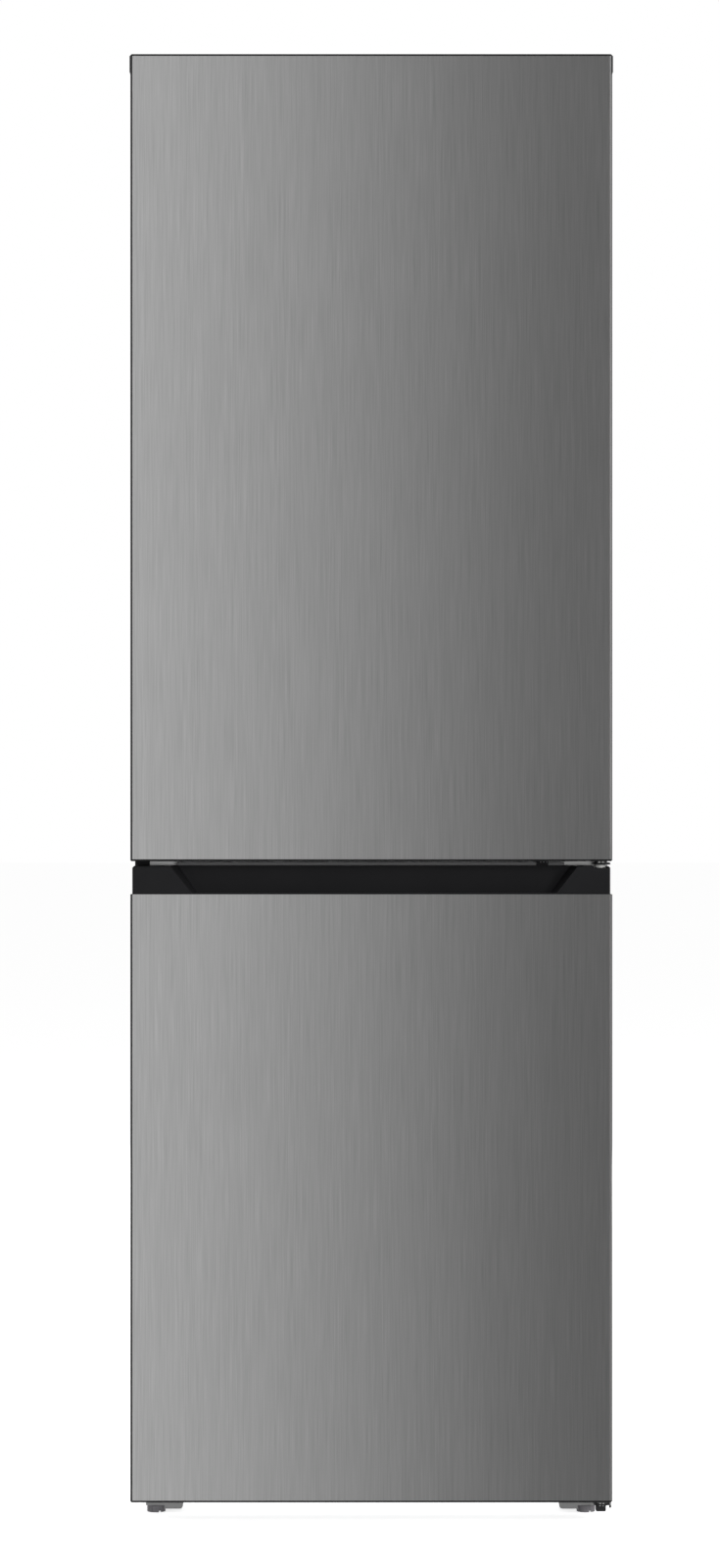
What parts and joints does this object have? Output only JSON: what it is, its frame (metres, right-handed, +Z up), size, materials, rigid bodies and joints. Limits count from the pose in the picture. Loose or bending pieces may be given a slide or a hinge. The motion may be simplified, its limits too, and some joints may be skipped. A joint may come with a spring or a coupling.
{
  "type": "bottom freezer refrigerator",
  "caption": "Tall bottom freezer refrigerator with brushed steel doors, a recessed finger pull between them and hinges on the right.",
  "frame": {"origin": "on the floor, under the middle of the outline", "axes": "+Z up, the doors face -Y, the hinges are on the +X side"},
  "size_m": [0.592, 0.635, 1.8],
  "materials": {
    "brushed_panel": "fine vertical brushing",
    "cabinet_paint": "satin grey paint",
    "zinc_sheet": "zinc plated sheet",
    "dark_trim": "satin moulded",
    "black_handle": "semi-gloss moulded",
    "liner_white": "thermoformed, semi-gloss",
    "foam": "polyurethane foam",
    "gasket_grey": "soft PVC",
    "rail_grey": "satin light grey paint",
    "hinge_steel": "black coated steel",
    "washer_white": "nylon",
    "screw_steel": "zinc plated",
    "shelf_glass": "tempered",
    "trim_grey": "satin moulded",
    "clear_plastic": "clear moulded polystyrene",
    "compressor_black": "black stove enamel",
    "mount_rubber": "moulded",
    "box_black": "moulded",
    "tray_white": "moulded",
    "condenser_black": "black lacquer",
    "copper": "drawn copper",
    "aluminium": "rolled",
    "foot_grey": "moulded, ribbed",
    "bracket_steel": "zinc plated",
    "roller_black": "moulded",
    "lens_clear": "frosted clear"
  },
  "bodies": {
    "cabinet": {"side_panel_left": "cabinet_paint", "side_panel_right": "cabinet_paint", "top_panel": "cabinet_paint", "rear_panel": "zinc_sheet", "bottom_tray": "zinc_sheet", "insulation_foam": "foam", "fridge_liner": "liner_white", "freezer_liner": "liner_white", "evaporator": "aluminium", "mullion_rail": "rail_grey", "mullion_plug": "dark_trim", "top_hinge": "hinge_steel", "top_hinge_cover": "dark_trim", "middle_hinge": "hinge_steel", "bottom_hinge": "hinge_steel", "hinge_washers": "washer_white", "hinge_screws": "screw_steel", "foot_bracket_left": "bracket_steel", "foot_bracket_right": "bracket_steel", "compressor_base": "zinc_sheet", "compressor": "compressor_black", "compressor_mounts": "mount_rubber", "terminal_box": "box_black", "drain_tray": "tray_white", "condenser": "condenser_black", "condenser_clips": "tray_white", "refrigerant_tubes": "copper", "cord_gland": "box_black", "shelf_glass_lower": "shelf_glass", "shelf_glass_middle": "shelf_glass", "shelf_glass_upper": "shelf_glass", "crisper_cover": "shelf_glass", "shelf_trims": "trim_grey", "control_housing": "liner_white", "lamp_lens": "lens_clear"},
    "fridge_door": {"fridge_door_panel": "brushed_panel", "fridge_door_top_cap": "dark_trim", "fridge_door_bottom_cap": "dark_trim", "fridge_door_foam": "foam", "fridge_door_liner": "liner_white", "fridge_door_gasket": "gasket_grey", "door_bin_lower": "clear_plastic", "door_bin_middle": "clear_plastic", "door_bin_upper": "clear_plastic"},
    "freezer_door": {"freezer_door_panel": "brushed_panel", "freezer_door_handle_cap": "black_handle", "freezer_door_bottom_cap": "dark_trim", "freezer_door_foam": "foam", "freezer_door_liner": "liner_white", "freezer_door_gasket": "gasket_grey"},
    "crisper_drawer": {"crisper_drawer": "clear_plastic"},
    "freezer_drawer_top": {"freezer_drawer_top": "clear_plastic"},
    "freezer_drawer_middle": {"freezer_drawer_middle": "clear_plastic"},
    "freezer_drawer_bottom": {"freezer_drawer_bottom": "clear_plastic"},
    "thermostat_knob": {"thermostat_knob": "trim_grey"},
    "foot_left": {"foot_left": "foot_grey"},
    "foot_right": {"foot_right": "foot_grey"},
    "roller_left": {"roller_left": "roller_black"},
    "roller_right": {"roller_right": "roller_black"}
  },
  "joints": [
    {"name": "fridge_door_hinge", "type": "hinge", "parent": "cabinet", "child": "fridge_door", "pos_m": [0.2824, -0.2875, 1.30625], "axis": [0, 0, 1], "range_deg": [0, 120]},
    {"name": "freezer_door_hinge", "type": "hinge", "parent": "cabinet", "child": "freezer_door", "pos_m": [0.2824, -0.2875, 0.41725], "axis": [0, 0, 1], "range_deg": [0, 120]},
    {"name": "crisper_drawer_slide", "type": "slide", "parent": "cabinet", "child": "crisper_drawer", "axis": [0, -1, 0], "range_m": [0, 0.3]},
    {"name": "freezer_drawer_top_slide", "type": "slide", "parent": "cabinet", "child": "freezer_drawer_top", "axis": [0, -1, 0], "range_m": [0, 0.3]},
    {"name": "freezer_drawer_middle_slide", "type": "slide", "parent": "cabinet", "child": "freezer_drawer_middle", "axis": [0, -1, 0], "range_m": [0, 0.3]},
    {"name": "freezer_drawer_bottom_slide", "type": "slide", "parent": "cabinet", "child": "freezer_drawer_bottom", "axis": [0, -1, 0], "range_m": [0, 0.2]},
    {"name": "thermostat_turn", "type": "hinge", "parent": "cabinet", "child": "thermostat_knob", "pos_m": [0.07, -0.2, 1.725], "axis": [0, -1, 0], "range_deg": [0, 300]},
    {"name": "foot_left_screw", "type": "hinge", "parent": "cabinet", "child": "foot_left", "pos_m": [-0.268, -0.22, 0.00415], "axis": [0, 0, 1], "continuous": true},
    {"name": "roller_left_spin", "type": "hinge", "parent": "cabinet", "child": "roller_left", "pos_m": [-0.262, 0.25, 0.011], "axis": [1, 0, 0], "continuous": true},
    {"name": "foot_right_screw", "type": "hinge", "parent": "cabinet", "child": "foot_right", "pos_m": [0.268, -0.22, 0.00415], "axis": [0, 0, 1], "continuous": true},
    {"name": "roller_right_spin", "type": "hinge", "parent": "cabinet", "child": "roller_right", "pos_m": [0.262, 0.25, 0.011], "axis": [1, 0, 0], "continuous": true}
  ],
  "couplings": [
    {"joint": "crisper_drawer_slide", "follows": "fridge_door_hinge", "m_per_rad": 0.075},
    {"joint": "freezer_drawer_top_slide", "follows": "freezer_door_hinge", "m_per_rad": 0.075},
    {"joint": "freezer_drawer_middle_slide", "follows": "freezer_door_hinge", "m_per_rad": 0.075},
    {"joint": "freezer_drawer_bottom_slide", "follows": "freezer_door_hinge", "m_per_rad": 0.075}
  ]
}
